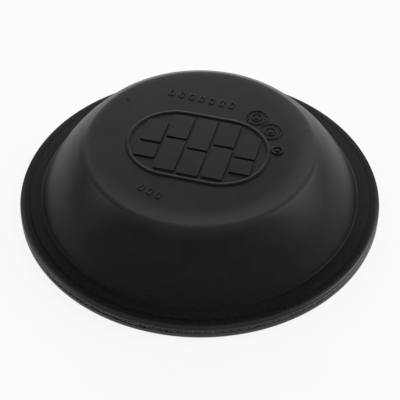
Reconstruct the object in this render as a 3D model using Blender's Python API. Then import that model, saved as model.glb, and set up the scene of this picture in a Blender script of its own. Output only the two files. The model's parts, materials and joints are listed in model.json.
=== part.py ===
"""Brake chamber diaphragm: a moulded rubber cup, open side down, with a clamping rim.

The piece is round about the Z axis and rests on the flat underside of its rim,
with the origin at the centre of that face. One closed section is drawn in the
plane at +X, top plate first, and turned about the Z axis.
"""

from math import acos, atan2, cos, hypot, pi, radians, sin, sqrt, tan

import bpy

MM = 0.001

# Rim: the bead that the two halves of the chamber clamp, crowned on top
RIM_RADIUS = 84.0 * MM
RIM_THICKNESS = 6.8 * MM
LIP_WIDTH = 4.3 * MM
LIP_TOP_ROUND = 0.9 * MM
LIP_BOTTOM_ROUND = 1.8 * MM
LIP_CROWN_RADIUS = 3.5 * MM
LIP_CREVICE_DEPTH = 0.7 * MM
HEEL_ROUND = 0.8 * MM
PARTING_GROOVE_HEIGHT = 4.2 * MM
PARTING_GROOVE_RADIUS = 0.75 * MM
PARTING_GROOVE_DEPTH = 0.4 * MM

# Flange: the nearly flat band between the rim and the foot of the wall
FLANGE_WIDTH = 6.4 * MM
FLANGE_RISE = 0.3 * MM
FLANGE_STEP_HEIGHT = 0.9 * MM
FLANGE_STEP_RUN = 0.35 * MM
FOOT_NOTCH_WIDTH = 0.9 * MM
FOOT_NOTCH_DEPTH = 0.3 * MM

# Cup: flat plate, rounded shoulder and a wall that bulges slightly down to its foot
OVERALL_HEIGHT = 36.2 * MM
PLATE_RADIUS = 50.2 * MM
SHOULDER_RADIUS = 7.5 * MM
WALL_BULGE_RADIUS = 92.0 * MM
FOOT_FILLET_RADIUS = 1.2 * MM
SHEET_THICKNESS = 3.5 * MM

# Share of a straight line that a round at its end may take at most
FILLET_SHARE = 0.45

# Facets of the turned solid
STEPS_AROUND = 96
STEPS_PER_ROUND = 4
MERGE_DISTANCE = 0.00002
SMOOTH_LIMIT = radians(28.0)

RUBBER_COLOUR = (0.030, 0.031, 0.033, 1.0)
RUBBER_ROUGHNESS = 0.48


def clear_scene():
    """Remove every object that the file opened with."""
    for scene_object in list(bpy.data.objects):
        bpy.data.objects.remove(scene_object, do_unlink=True)


def rubber_material():
    """Black moulded rubber, satin and not metallic."""
    material = bpy.data.materials.new("black_rubber")
    material.use_nodes = True
    shader = material.node_tree.nodes["Principled BSDF"]
    shader.inputs["Base Color"].default_value = RUBBER_COLOUR
    shader.inputs["Roughness"].default_value = RUBBER_ROUGHNESS
    shader.inputs["Metallic"].default_value = 0.0
    return material


def arc(centre, radius, start, end, steps=STEPS_PER_ROUND):
    """Points on an arc. Angles are tilts of its normal from +Z towards +X."""
    return [
        (
            centre[0] + radius * sin(start + (end - start) * step / steps),
            centre[1] + radius * cos(start + (end - start) * step / steps),
        )
        for step in range(steps + 1)
    ]


def fillet(before, corner, after, radius):
    """Points of the round that replaces a corner between two straight lines."""
    to_before = (before[0] - corner[0], before[1] - corner[1])
    to_after = (after[0] - corner[0], after[1] - corner[1])
    before_length = hypot(*to_before)
    after_length = hypot(*to_after)
    to_before = (to_before[0] / before_length, to_before[1] / before_length)
    to_after = (to_after[0] / after_length, to_after[1] / after_length)
    half_angle = acos(to_before[0] * to_after[0] + to_before[1] * to_after[1]) / 2
    shorter = min(before_length, after_length)
    cut_back = min(radius / tan(half_angle), FILLET_SHARE * shorter)
    radius = cut_back * tan(half_angle)
    middle = (to_before[0] + to_after[0], to_before[1] + to_after[1])
    scale = radius / sin(half_angle) / hypot(*middle)
    centre = (corner[0] + middle[0] * scale, corner[1] + middle[1] * scale)
    first = (corner[0] + to_before[0] * cut_back, corner[1] + to_before[1] * cut_back)
    last = (corner[0] + to_after[0] * cut_back, corner[1] + to_after[1] * cut_back)
    start = atan2(first[0] - centre[0], first[1] - centre[1])
    end = atan2(last[0] - centre[0], last[1] - centre[1])
    turn = (end - start + pi) % (2 * pi) - pi
    return arc(centre, radius, start, start + turn)


def foot_point():
    """Where the wall would meet the flange."""
    return (
        RIM_RADIUS - LIP_WIDTH - FLANGE_WIDTH,
        RIM_THICKNESS + FLANGE_STEP_HEIGHT + FLANGE_RISE,
    )


def shoulder_centre():
    """Centre of the shoulder's round, and of the corner inside it."""
    return (PLATE_RADIUS, OVERALL_HEIGHT - SHOULDER_RADIUS)


def wall_curve():
    """Centre of the arc that leaves the shoulder smoothly and ends at the foot.

    Also its tilt at the shoulder and its tilt at the foot.
    """
    shoulder = shoulder_centre()
    foot = foot_point()
    run = (foot[0] - shoulder[0], foot[1] - shoulder[1])
    length = hypot(*run)
    along = (run[0] / length, run[1] / length)
    # A smooth join puts the two centres this far apart, on one normal
    apart = WALL_BULGE_RADIUS - SHOULDER_RADIUS
    ahead = (length**2 + apart**2 - WALL_BULGE_RADIUS**2) / (2 * length)
    aside = sqrt(apart**2 - ahead**2)
    centre = (
        shoulder[0] + along[0] * ahead + along[1] * aside,
        shoulder[1] + along[1] * ahead - along[0] * aside,
    )
    shoulder_tilt = atan2(shoulder[0] - centre[0], shoulder[1] - centre[1])
    foot_tilt = atan2(foot[0] - centre[0], foot[1] - centre[1])
    return centre, shoulder_tilt, foot_tilt


def cup_outside(centre, shoulder_tilt, foot_tilt):
    """Plate, shoulder and bulging wall, from the axis down to the foot's fillet."""
    shoulder = arc(shoulder_centre(), SHOULDER_RADIUS, 0, shoulder_tilt)
    bulge = arc(centre, WALL_BULGE_RADIUS, shoulder_tilt, foot_tilt)
    return [(0.0, OVERALL_HEIGHT)] + shoulder + bulge[1:-1]


def flange_outside(wall_end):
    """Foot fillet, the fine notch beside it, and the nearly flat band up to its step."""
    foot = foot_point()
    step_edge = (
        RIM_RADIUS - LIP_WIDTH - FLANGE_STEP_RUN,
        RIM_THICKNESS + FLANGE_STEP_HEIGHT,
    )
    band = (step_edge[0] - foot[0], step_edge[1] - foot[1])
    band_length = hypot(*band)
    along = (band[0] / band_length, band[1] / band_length)
    rounded_foot = fillet(wall_end, foot, step_edge, FOOT_FILLET_RADIUS)
    notch_start = rounded_foot[-1]
    notch_middle = (
        notch_start[0] + along[0] * FOOT_NOTCH_WIDTH / 2 + along[1] * FOOT_NOTCH_DEPTH,
        notch_start[1] + along[1] * FOOT_NOTCH_WIDTH / 2 - along[0] * FOOT_NOTCH_DEPTH,
    )
    notch_end = (
        notch_start[0] + along[0] * FOOT_NOTCH_WIDTH,
        notch_start[1] + along[1] * FOOT_NOTCH_WIDTH,
    )
    return rounded_foot + [notch_middle, notch_end, step_edge]


def rim_outside():
    """Crowned lip beyond the crevice, its rounds and the parting groove in its side."""
    crown_turn = acos(1 - LIP_CREVICE_DEPTH / LIP_CROWN_RADIUS)
    crown_centre = (
        RIM_RADIUS - LIP_WIDTH + LIP_CROWN_RADIUS * sin(crown_turn),
        RIM_THICKNESS - LIP_CROWN_RADIUS,
    )
    crown = arc(crown_centre, LIP_CROWN_RADIUS, -crown_turn, 0)
    top_centre = (RIM_RADIUS - LIP_TOP_ROUND, RIM_THICKNESS - LIP_TOP_ROUND)
    bottom_centre = (RIM_RADIUS - LIP_BOTTOM_ROUND, LIP_BOTTOM_ROUND)
    top_round = arc(top_centre, LIP_TOP_ROUND, 0, pi / 2)
    bottom_round = arc(bottom_centre, LIP_BOTTOM_ROUND, pi / 2, pi)
    # The groove is an arc cut into the side, so its centre stands off the rim
    groove_centre = (
        RIM_RADIUS + PARTING_GROOVE_RADIUS - PARTING_GROOVE_DEPTH,
        PARTING_GROOVE_HEIGHT,
    )
    half_opening = acos((PARTING_GROOVE_RADIUS - PARTING_GROOVE_DEPTH) / PARTING_GROOVE_RADIUS)
    groove = arc(
        groove_centre, PARTING_GROOVE_RADIUS, -pi / 2 + half_opening, -pi / 2 - half_opening
    )
    return crown + top_round + groove + bottom_round


def cup_inside(centre, shoulder_tilt, foot_tilt):
    """Inner side of the wall at one thickness, from the rim up to the axis."""
    inner_radius = WALL_BULGE_RADIUS - SHEET_THICKNESS
    bulge = arc(centre, inner_radius, foot_tilt, shoulder_tilt)
    straight_top = bulge[0]
    heel = (straight_top[0] + straight_top[1] / tan(foot_tilt), 0.0)
    rim_floor = (RIM_RADIUS - LIP_BOTTOM_ROUND, 0.0)
    heel_round = fillet(rim_floor, heel, straight_top, HEEL_ROUND)
    ceiling = OVERALL_HEIGHT - SHEET_THICKNESS
    corner_radius = SHOULDER_RADIUS - SHEET_THICKNESS
    if corner_radius > 0:
        corner = arc(shoulder_centre(), corner_radius, shoulder_tilt, 0)
        return heel_round + bulge[:-1] + corner + [(0.0, ceiling)]
    # A sheet thicker than the shoulder's round leaves a sharp inner corner
    corner_tilt = acos((ceiling - centre[1]) / inner_radius)
    bulge = arc(centre, inner_radius, foot_tilt, corner_tilt)
    return heel_round + bulge + [(0.0, ceiling)]


def section():
    """The closed section, from the top of the axis round to its underside."""
    wall = wall_curve()
    outside = cup_outside(*wall)
    return outside + flange_outside(outside[-1]) + rim_outside() + cup_inside(*wall)


def turned_solid(name, points, material):
    """Turn a section about Z with a Screw modifier and shade its rounds smooth."""
    outline = bpy.data.meshes.new(name + "_section")
    edges = [(index, index + 1) for index in range(len(points) - 1)]
    outline.from_pydata([(x, 0.0, z) for x, z in points], edges, [])
    solid = bpy.data.objects.new(name, outline)
    bpy.context.scene.collection.objects.link(solid)
    turn = solid.modifiers.new("turn", "SCREW")
    turn.axis = "Z"
    turn.angle = 2 * pi
    turn.screw_offset = 0.0
    turn.steps = STEPS_AROUND
    turn.render_steps = STEPS_AROUND
    turn.use_merge_vertices = True
    turn.merge_threshold = MERGE_DISTANCE
    turned = bpy.data.meshes.new_from_object(
        solid.evaluated_get(bpy.context.evaluated_depsgraph_get())
    )
    solid.modifiers.remove(turn)
    solid.data = turned
    turned.name = name
    turned.materials.append(material)
    turned.shade_smooth()
    turned.set_sharp_from_angle(angle=SMOOTH_LIMIT)
    return solid


def main():
    """Build the diaphragm."""
    clear_scene()
    turned_solid("diaphragm", section(), rubber_material())


main()
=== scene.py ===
"""Brake chamber diaphragm: the looks of one moulded black rubber cup.

The cup stands open side down on its rim, with its origin at the centre of the
rim's flat underside. All lengths are in metres and all angles in radians. The
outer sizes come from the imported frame, so the moulding follows it.
"""

import json
import logging
from dataclasses import dataclass
from enum import Enum
from math import acos, asin, atan2, ceil, cos, dist, pi, radians, sin, sqrt, tan
from typing import Any, ClassVar, Iterable, Sequence

import bmesh
import bpy
from mathutils import Matrix, Vector


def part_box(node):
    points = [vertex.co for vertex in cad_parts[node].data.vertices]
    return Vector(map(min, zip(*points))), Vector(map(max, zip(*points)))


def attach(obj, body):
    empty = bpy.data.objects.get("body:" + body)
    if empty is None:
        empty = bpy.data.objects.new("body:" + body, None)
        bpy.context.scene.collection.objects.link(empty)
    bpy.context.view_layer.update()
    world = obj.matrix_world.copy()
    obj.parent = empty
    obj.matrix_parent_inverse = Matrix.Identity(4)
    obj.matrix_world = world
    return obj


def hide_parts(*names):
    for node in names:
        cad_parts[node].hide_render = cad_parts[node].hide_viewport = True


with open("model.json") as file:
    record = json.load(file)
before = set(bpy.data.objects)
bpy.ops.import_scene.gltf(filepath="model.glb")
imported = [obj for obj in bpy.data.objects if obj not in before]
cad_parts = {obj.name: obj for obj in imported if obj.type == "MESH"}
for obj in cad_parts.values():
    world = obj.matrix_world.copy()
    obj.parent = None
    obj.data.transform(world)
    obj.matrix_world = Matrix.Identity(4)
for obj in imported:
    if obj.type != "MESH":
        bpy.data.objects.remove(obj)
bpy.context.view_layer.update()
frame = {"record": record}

LOG = logging.getLogger("diaphragm")

MM = 0.001
BODY = "root"
NODE = "diaphragm"
GROOVE_HEIGHT = 4.2 * MM
WHITE = (1.0, 1.0, 1.0, 1.0)

Point = tuple[float, float]
Colour = tuple[float, float, float]


def added(name: str, data: bpy.types.ID) -> bpy.types.Object:
    """Put an object in the scene.

    Args:
        name: Its name.
        data: What it shows.

    Returns:
        The object.
    """
    made = bpy.data.objects.new(name, data)
    bpy.context.scene.collection.objects.link(made)
    return made


def baked(carrier: bpy.types.Object) -> bpy.types.Mesh:
    """Keep what an object shows, with its modifiers, and remove the object.

    Args:
        carrier: The object.

    Returns:
        A plain mesh.
    """
    evaluated = carrier.evaluated_get(bpy.context.evaluated_depsgraph_get())
    mesh = bpy.data.meshes.new_from_object(evaluated)
    bpy.data.objects.remove(carrier)
    return mesh


def kept(name: str, shape: bmesh.types.BMesh) -> bpy.types.Mesh:
    """Keep a shape that was drawn, and free its memory.

    Args:
        name: The mesh's name.
        shape: The shape.

    Returns:
        The mesh.
    """
    mesh = bpy.data.meshes.new(name)
    shape.to_mesh(mesh)
    shape.free()
    return mesh


def joined(name: str, parts: Iterable[bpy.types.Mesh]) -> bpy.types.Mesh:
    """Join meshes into a new one.

    Args:
        name: Its name.
        parts: The meshes, in their order.

    Returns:
        The new mesh.
    """
    shape = bmesh.new()
    for part in parts:
        shape.from_mesh(part)
    return kept(name, shape)


def cleared_tree(owner: bpy.types.Material | bpy.types.World) -> bpy.types.NodeTree:
    """Switch on the nodes of a material or a world, and clear them.

    Args:
        owner: The material or the world.

    Returns:
        Its empty tree.
    """
    owner.use_nodes = True
    owner.node_tree.nodes.clear()
    return owner.node_tree


class Signal:
    """A number on its way through a node tree, which Python's operators work on."""

    def __init__(self, board: "NodeBoard", socket: bpy.types.NodeSocket) -> None:
        """Wrap an output socket of a tree."""
        self.board = board
        self.socket = socket

    def maths(self, operation: str, *others: Any) -> "Signal":
        """Add a Math node on this signal and others, or plain numbers."""
        return self.board.maths(operation, self, *others)

    def __add__(self, other: Any) -> "Signal":
        """Add a number or a signal."""
        return self.maths("ADD", other)

    __radd__ = __add__

    def __sub__(self, other: Any) -> "Signal":
        """Take a number or a signal away."""
        return self.maths("SUBTRACT", other)

    def __rsub__(self, other: Any) -> "Signal":
        """Take this signal away from a number."""
        return self.board.maths("SUBTRACT", other, self)

    def __mul__(self, other: Any) -> "Signal":
        """Multiply by a number or a signal."""
        return self.maths("MULTIPLY", other)

    __rmul__ = __mul__

    def __truediv__(self, other: Any) -> "Signal":
        """Divide by a number or a signal."""
        return self.maths("DIVIDE", other)

    def __rtruediv__(self, other: Any) -> "Signal":
        """Divide a number by this signal."""
        return self.board.maths("DIVIDE", other, self)

    def __pow__(self, other: Any) -> "Signal":
        """Raise to a power."""
        return self.maths("POWER", other)

    def ramp(self, low: "float | Signal", high: "float | Signal") -> "Signal":
        """Rise smoothly from 0 at one value to 1 at another.

        Args:
            low: The value at which the result leaves 0.
            high: The value at which the result reaches 1.

        Returns:
            The smoothed result.
        """
        node = self.board.node(
            "ShaderNodeMapRange",
            {"interpolation_type": "SMOOTHSTEP"},
            {"Value": self, "From Min": low, "From Max": high},
        )
        return Signal(self.board, node.outputs[0])


class NodeBoard:
    """A node tree that nodes are added to from their settings and inputs."""

    def __init__(self, tree: bpy.types.NodeTree) -> None:
        """Work on a shader, world or geometry node tree."""
        self.tree = tree

    def node(
        self,
        kind: str,
        settings: dict[str, Any] | None = None,
        inputs: dict[str | int, Any] | None = None,
    ) -> bpy.types.Node:
        """Add a node, with its settings first and then its inputs.

        Args:
            kind: The node's type.
            settings: Its properties by name.
            inputs: Values, sockets or signals by the input's name or number.

        Returns:
            The new node.
        """
        node = self.tree.nodes.new(kind)
        for name, value in (settings or {}).items():
            setattr(node, name, value)
        for key, value in (inputs or {}).items():
            self.feed(node.inputs[key], value)
        return node

    def out(
        self,
        kind: str,
        settings: dict[str, Any] | None = None,
        inputs: dict[str | int, Any] | None = None,
    ) -> bpy.types.NodeSocket:
        """Add a node in the same way, and give its first output."""
        return self.node(kind, settings, inputs).outputs[0]

    def feed(self, target: bpy.types.NodeSocket, value: Any) -> None:
        """Set an input socket, or link it where the value comes from a node.

        Args:
            target: The input socket.
            value: A plain value, a socket or a signal.
        """
        if isinstance(value, Signal):
            value = value.socket
        if isinstance(value, bpy.types.NodeSocket):
            self.tree.links.new(value, target)
        else:
            target.default_value = value

    def maths(self, operation: str, *operands: Any) -> Signal:
        """Add a Math node for an operation on signals and numbers."""
        return Signal(self, self.out("ShaderNodeMath", {"operation": operation}, dict(enumerate(operands))))

    def split(self, vector: bpy.types.NodeSocket) -> tuple[Signal, Signal, Signal]:
        """Take a vector's three numbers."""
        parts = self.node("ShaderNodeSeparateXYZ", inputs={0: vector}).outputs
        return Signal(self, parts[0]), Signal(self, parts[1]), Signal(self, parts[2])

    def join(self, x: Any, y: Any, z: Any) -> bpy.types.NodeSocket:
        """Make a vector from three numbers or signals."""
        return self.out("ShaderNodeCombineXYZ", inputs={0: x, 1: y, 2: z})

    def from_axis(self, x: Signal, y: Signal) -> Signal:
        """Work out a distance from the Z axis."""
        return (x * x + y * y) ** 0.5

    def noise(
        self,
        place: bpy.types.NodeSocket,
        size: float | Signal,
        detail: float,
        seed: float | Signal,
    ) -> Signal:
        """Add noise from 0 to 1, with lumps of one size in metres and finer layers of detail."""
        inputs = {"Vector": place, "W": seed, "Scale": 1.0 / size, "Detail": detail}
        return Signal(self, self.out("ShaderNodeTexNoise", {"noise_dimensions": "4D"}, inputs))


class GeometryTree(NodeBoard):
    """A Geometry Nodes tree with named inputs, which ends in one finish."""

    FINISH = "Finish"

    def __init__(self, name: str, sizes: dict[str, str]) -> None:
        """Start a tree.

        Args:
            name: The tree's name.
            sizes: The type of each named input, by its name.
        """
        super().__init__(bpy.data.node_groups.new(name, "GeometryNodeTree"))
        sockets = self.tree.interface
        sockets.new_socket("Geometry", in_out="INPUT", socket_type="NodeSocketGeometry")
        self.identifiers: dict[str, str] = {}
        for label, kind in (sizes | {self.FINISH: "NodeSocketMaterial"}).items():
            made = sockets.new_socket(label, in_out="INPUT", socket_type=kind)
            self.identifiers[label] = made.identifier
        sockets.new_socket("Geometry", in_out="OUTPUT", socket_type="NodeSocketGeometry")
        self.source = self.node("NodeGroupInput")

    def size(self, name: str) -> Signal:
        """Give one of the tree's named numbers."""
        return Signal(self, self.source.outputs[name])

    def here(self) -> bpy.types.NodeSocket:
        """Give the place of the point that is worked on."""
        return self.out("GeometryNodeInputPosition")

    def around(self, reach: Signal, turn: Signal, height: Any) -> bpy.types.NodeSocket:
        """Make the place at a distance from the Z axis, at an azimuth and a height."""
        return self.join(reach * turn.maths("COSINE"), reach * turn.maths("SINE"), height)

    def scaled(self, vector: bpy.types.NodeSocket, factor: Signal) -> bpy.types.NodeSocket:
        """Multiply a vector by a number."""
        return self.out("ShaderNodeVectorMath", {"operation": "SCALE"}, {0: vector, "Scale": factor})

    def moved(self, geometry: bpy.types.NodeSocket, **where: bpy.types.NodeSocket) -> bpy.types.NodeSocket:
        """Move a shape's points to a Position, or by an Offset."""
        return self.out("GeometryNodeSetPosition", inputs={"Geometry": geometry} | where)

    def copies(
        self, points: bpy.types.NodeSocket, shape: bpy.types.NodeSocket, **looks: bpy.types.NodeSocket
    ) -> bpy.types.NodeSocket:
        """Put a copy of a shape on each point, with a Rotation and a Scale where given."""
        return self.out("GeometryNodeInstanceOnPoints", inputs={"Points": points, "Instance": shape} | looks)

    def close(self, geometry: bpy.types.NodeSocket) -> None:
        """End the tree: real copies, one finish, and the output.

        Args:
            geometry: What the tree has made.
        """
        real = self.out("GeometryNodeRealizeInstances", inputs={0: geometry})
        finish = self.source.outputs[self.FINISH]
        dressed = self.out("GeometryNodeSetMaterial", inputs={"Geometry": real, "Material": finish})
        self.node("NodeGroupOutput", inputs={0: dressed})

    def grow(self, start: bpy.types.Mesh, finish: bpy.types.Material, **sizes: Any) -> bpy.types.Mesh:
        """Run the tree once and keep the result as a plain mesh.

        Args:
            start: The mesh that the tree starts from.
            finish: The material of the result.
            sizes: Values of the named inputs, with _ for each blank.

        Returns:
            The plain mesh.
        """
        carrier = added(self.tree.name, start)
        modifier = carrier.modifiers.new(self.tree.name, "NODES")
        modifier.node_group = self.tree
        modifier[self.identifiers[self.FINISH]] = finish
        for name, value in sizes.items():
            modifier[self.identifiers[name.replace("_", " ").title()]] = value
        return baked(carrier)


class TurnedTree(GeometryTree):
    """Turns a section, given as the points of a mesh at +X, about the Z axis."""

    SIZES = dict.fromkeys(("Steps Around", "Section Points", "Seed"), "NodeSocketInt")
    WORKED_SIZES = dict.fromkeys(("Wave Height", "Wave Size"), "NodeSocketFloat")
    CLOSING_DISTANCE = 0.004 * MM

    def __init__(self, name: str = "turned_section") -> None:
        """Build the tree.

        Args:
            name: The tree's name.
        """
        super().__init__(name, self.SIZES | self.WORKED_SIZES)
        stations = self.size("Section Points")
        steps = {"Vertices X": self.size("Steps Around") + 1, "Vertices Y": stations}
        sheet = self.out("GeometryNodeMeshGrid", inputs={"Size X": 1.0, "Size Y": 1.0} | steps)
        across, along, _ = self.split(self.here())
        station = ((along + 0.5) * (stations - 1)).maths("ROUND")
        sampled = self.out(
            "GeometryNodeSampleIndex",
            {"data_type": "FLOAT_VECTOR", "domain": "POINT"},
            {"Geometry": self.source.outputs[0], "Value": self.here(), "Index": station},
        )
        reach, _, height = self.split(sampled)
        turned = self.moved(sheet, Position=self.around(reach, (across + 0.5) * (2 * pi), height))
        joint = {"Geometry": turned, "Distance": self.CLOSING_DISTANCE}
        closed = self.out("GeometryNodeMergeByDistance", inputs=joint)
        self.close(self.moved(closed, Offset=self.offset()))

    def offset(self) -> bpy.types.NodeSocket:
        """Work out how far each point moves: a long soft wave along its normal."""
        lump = self.noise(self.here(), self.size("Wave Size"), 0.0, self.size("Seed"))
        return self.scaled(self.out("GeometryNodeInputNormal"), (lump - 0.5) * self.size("Wave Height"))


class RaggedTree(TurnedTree):
    """Turns a thin fin whose outer edge is torn, most of all in one sector."""

    WORKED_SIZES = dict.fromkeys(
        (
            "Root Radius", "Tip Radius", "Tear Depth", "Tear Height", "Tear Size",
            "Calm Share", "Sector Middle", "Sector Half", "Sector Fade",
        ),
        "NodeSocketFloat",
    )
    TEAR_DETAIL = 3.0
    RISE_SHIFT = 7.3

    def __init__(self) -> None:
        """Build the tree."""
        super().__init__("ragged_fin")

    def tear(self, shift: float) -> Signal:
        """Give noise from -1 to 1 along the fin, in another pattern for each shift."""
        seed = self.size("Seed") + shift
        return (self.noise(self.here(), self.size("Tear Size"), self.TEAR_DETAIL, seed) - 0.5) * 2.0

    def offset(self) -> bpy.types.NodeSocket:
        """Move the fin's tip out, in, up and down.

        Returns:
            The offset vector.
        """
        x, y, _ = self.split(self.here())
        reach = self.from_axis(x, y)
        tip = reach.ramp(self.size("Root Radius"), self.size("Tip Radius"))
        middle, half, fade = self.size("Sector Middle"), self.size("Sector Half"), self.size("Sector Fade")
        towards = (x * middle.maths("COSINE") + y * middle.maths("SINE")) / reach
        sector = towards.ramp((half + fade).maths("COSINE"), half.maths("COSINE"))
        calm = self.size("Calm Share")
        share = tip * (calm + sector * (1.0 - calm))
        out = share * self.tear(0.0) * self.size("Tear Depth")
        rise = share * self.tear(self.RISE_SHIFT) * self.size("Tear Height")
        return self.join(out * x / reach, out * y / reach, rise)


class RidgeTree(GeometryTree):
    """A low round ridge along a closed line: a rounded oblong, or a ring."""

    SIZES = ("Length", "Width", "Corner Radius", "Ridge Width", "Ridge Height")
    PROFILE_STEPS = 12
    CORNER_STEPS = 14

    def __init__(self) -> None:
        """Build the tree."""
        super().__init__("closed_ridge", dict.fromkeys(self.SIZES, "NodeSocketFloat"))
        sides = {"Width": self.size("Length"), "Height": self.size("Width")}
        line = self.out(
            "GeometryNodeFilletCurve",
            {"mode": "POLY"},
            {
                "Curve": self.out("GeometryNodeCurvePrimitiveQuadrilateral", inputs=sides),
                "Count": self.CORNER_STEPS,
                "Radius": self.size("Corner Radius"),
                "Limit Radius": True,
            },
        )
        half_width = self.size("Ridge Width") * 0.5
        round_sizes = {"Resolution": self.PROFILE_STEPS, "Radius": half_width}
        flattening = {
            "Geometry": self.out("GeometryNodeCurvePrimitiveCircle", inputs=round_sizes),
            "Scale": self.join(1.0, self.size("Ridge Height") / half_width, 1.0),
        }
        profile = self.out("GeometryNodeTransform", inputs=flattening)
        self.close(self.out("GeometryNodeCurveToMesh", inputs={"Curve": line, "Profile Curve": profile}))


class RowTree(GeometryTree):
    """Copies of one shape in a straight row, with its middle at the origin."""

    def __init__(self) -> None:
        """Build the tree."""
        super().__init__("straight_row", {"Count": "NodeSocketInt", "Step": "NodeSocketVector"})
        count, step = self.size("Count"), self.source.outputs["Step"]
        start = self.scaled(step, (count - 1) * -0.5)
        line = {"Count": count, "Start Location": start, "Offset": step}
        self.close(self.copies(self.out("GeometryNodeMeshLine", inputs=line), self.source.outputs[0]))


class RoundTree(GeometryTree):
    """Copies of one shape round a circle, each turned to point away from its middle."""

    def __init__(self) -> None:
        """Build the tree."""
        super().__init__("round_row", {"Count": "NodeSocketInt", "Radius": "NodeSocketFloat"})
        count = self.size("Count")
        line = self.out("GeometryNodeMeshLine", inputs={"Count": count, "Offset": (0.0, 0.0, 0.0)})
        turn = Signal(self, self.out("GeometryNodeInputIndex")) * (2 * pi) / count
        ring = self.moved(line, Position=self.around(self.size("Radius"), turn, 0.0))
        self.close(self.copies(ring, self.source.outputs[0], Rotation=self.join(0.0, 0.0, turn)))


class ScatterTree(GeometryTree):
    """Copies of a small bead scattered over a band of a surface, seated on it."""

    SIZES = ("Density", "Bead Radius", "Low Radius", "High Radius")
    LEAST_UPWARD = 0.2
    BEAD_ROUNDS = 2
    LEAST_SCALE = (0.5, 0.5, 0.25)
    MOST_SCALE = (1.4, 1.4, 0.6)

    def __init__(self) -> None:
        """Build the tree."""
        sizes = dict.fromkeys(self.SIZES, "NodeSocketFloat")
        super().__init__("scattered_beads", sizes | {"Seed": "NodeSocketInt"})
        seed = self.size("Seed")
        x, y, _ = self.split(self.here())
        reach = self.from_axis(x, y)
        _, _, upward = self.split(self.out("GeometryNodeInputNormal"))
        inside = reach.maths("GREATER_THAN", self.size("Low Radius"))
        inside = inside * reach.maths("LESS_THAN", self.size("High Radius"))
        inside = inside * upward.maths("GREATER_THAN", self.LEAST_UPWARD)
        band = {"Mesh": self.source.outputs[0], "Selection": inside, "Density": self.size("Density")}
        points = self.node(
            "GeometryNodeDistributePointsOnFaces", {"distribute_method": "RANDOM"}, band | {"Seed": seed}
        ).outputs
        ball = {"Radius": self.size("Bead Radius"), "Subdivisions": self.BEAD_ROUNDS}
        bead = self.out("GeometryNodeMeshIcoSphere", inputs=ball)
        limits = {0: self.LEAST_SCALE, 1: self.MOST_SCALE, "Seed": seed}
        scale = self.out("FunctionNodeRandomValue", {"data_type": "FLOAT_VECTOR"}, limits)
        self.close(self.copies(points["Points"], bead, Rotation=points["Rotation"], Scale=scale))


class Pattern(Enum):
    """The noise that a layer follows: its seed, and how many finer layers lie on it."""

    PATCHES = (1.0, 3.0)
    STREAKS = (2.0, 4.0)
    GRAIN = (3.0, 2.0)
    PEEL = (4.0, 2.0)
    RINGS = (5.0, 2.0)
    ROUGH = (6.0, 3.0)
    DUST = (7.0, 2.0)
    WAVER = (8.0, 3.0)


class Surface(NodeBoard):
    """A material's tree, with the place on the part that its patterns follow."""

    AXIS_GUARD = 1.0 * MM

    def __init__(self, tree: bpy.types.NodeTree) -> None:
        """Start from Object coordinates.

        Args:
            tree: The material's empty tree.
        """
        super().__init__(tree)
        self.place = self.node("ShaderNodeTexCoord").outputs["Object"]
        self.x, self.y, self.z = self.split(self.place)
        self.reach = self.from_axis(self.x, self.y)

    def lumps(self, size: float, pattern: Pattern, place: bpy.types.NodeSocket | None = None) -> Signal:
        """Add a layer's noise, which follows the part unless another place is given."""
        seed, detail = pattern.value
        return self.noise(place or self.place, size, detail, seed)

    def facing(self, azimuth: float) -> Signal:
        """Tell the side of the part: 1 towards an azimuth, -1 away from it."""
        return (self.x * cos(azimuth) + self.y * sin(azimuth)) / (self.reach + self.AXIS_GUARD)

    def mix(
        self, share: Signal, under: Colour | bpy.types.NodeSocket, over: Colour | bpy.types.NodeSocket
    ) -> bpy.types.NodeSocket:
        """Lay one colour over another, each plain or from a node, and let a share of it show."""
        low, high = ((*colour, 1.0) if isinstance(colour, tuple) else colour for colour in (under, over))
        return self.node("ShaderNodeMix", {"data_type": "RGBA"}, {0: share, 6: low, 7: high}).outputs[2]


@dataclass(frozen=True)
class Bloom:
    """Deep black rubber with paler patches, broken up by fine streaks."""

    deep_colour: Colour = (0.0105, 0.0106, 0.0109)
    pale_colour: Colour = (0.0145, 0.0147, 0.0151)
    patch_size: float = 14.0 * MM
    patch_share: float = 0.65
    streak_size: float = 3.2 * MM
    streak_share: float = 0.35
    pale_from: float = 0.38
    pale_to: float = 0.66

    def streaks(self, board: Surface) -> Signal:
        """Add the streaks, which other layers follow too."""
        return board.lumps(self.streak_size, Pattern.STREAKS)

    def colour(self, board: Surface, streaks: Signal) -> bpy.types.NodeSocket:
        """Blend the two blacks."""
        patches = board.lumps(self.patch_size, Pattern.PATCHES)
        pale = (patches * self.patch_share + streaks * self.streak_share).ramp(self.pale_from, self.pale_to)
        return board.mix(pale, self.deep_colour, self.pale_colour)


@dataclass(frozen=True)
class WornCrest:
    """A painted highlight: a paler ring over the plate's edge, strongest on one side."""

    reach: float = 49.6 * MM
    width: float = 8.5 * MM
    pale_colour: Colour = (0.0330, 0.0333, 0.0341)
    azimuth: float = radians(300.0)
    faint_side: float = -0.7
    strong_side: float = 0.9
    least: float = 0.7
    streak_share: float = 0.6

    def over(self, board: Surface, under: bpy.types.NodeSocket, streaks: Signal) -> bpy.types.NodeSocket:
        """Lay the painted highlight ring over a colour.

        Args:
            board: The material's tree.
            under: The colour under it.
            streaks: The rubber's streaks, which break the ring up.

        Returns:
            The colour with the ring.
        """
        ring = (1.0 - (board.reach - self.reach).maths("ABSOLUTE") / self.width).ramp(0.0, 1.0)
        # The painted highlight is strongest on the side that faces the azimuth.
        side = board.facing(self.azimuth).ramp(self.faint_side, self.strong_side)
        return board.mix(ring * side * (streaks * self.streak_share + self.least), under, self.pale_colour)


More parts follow.
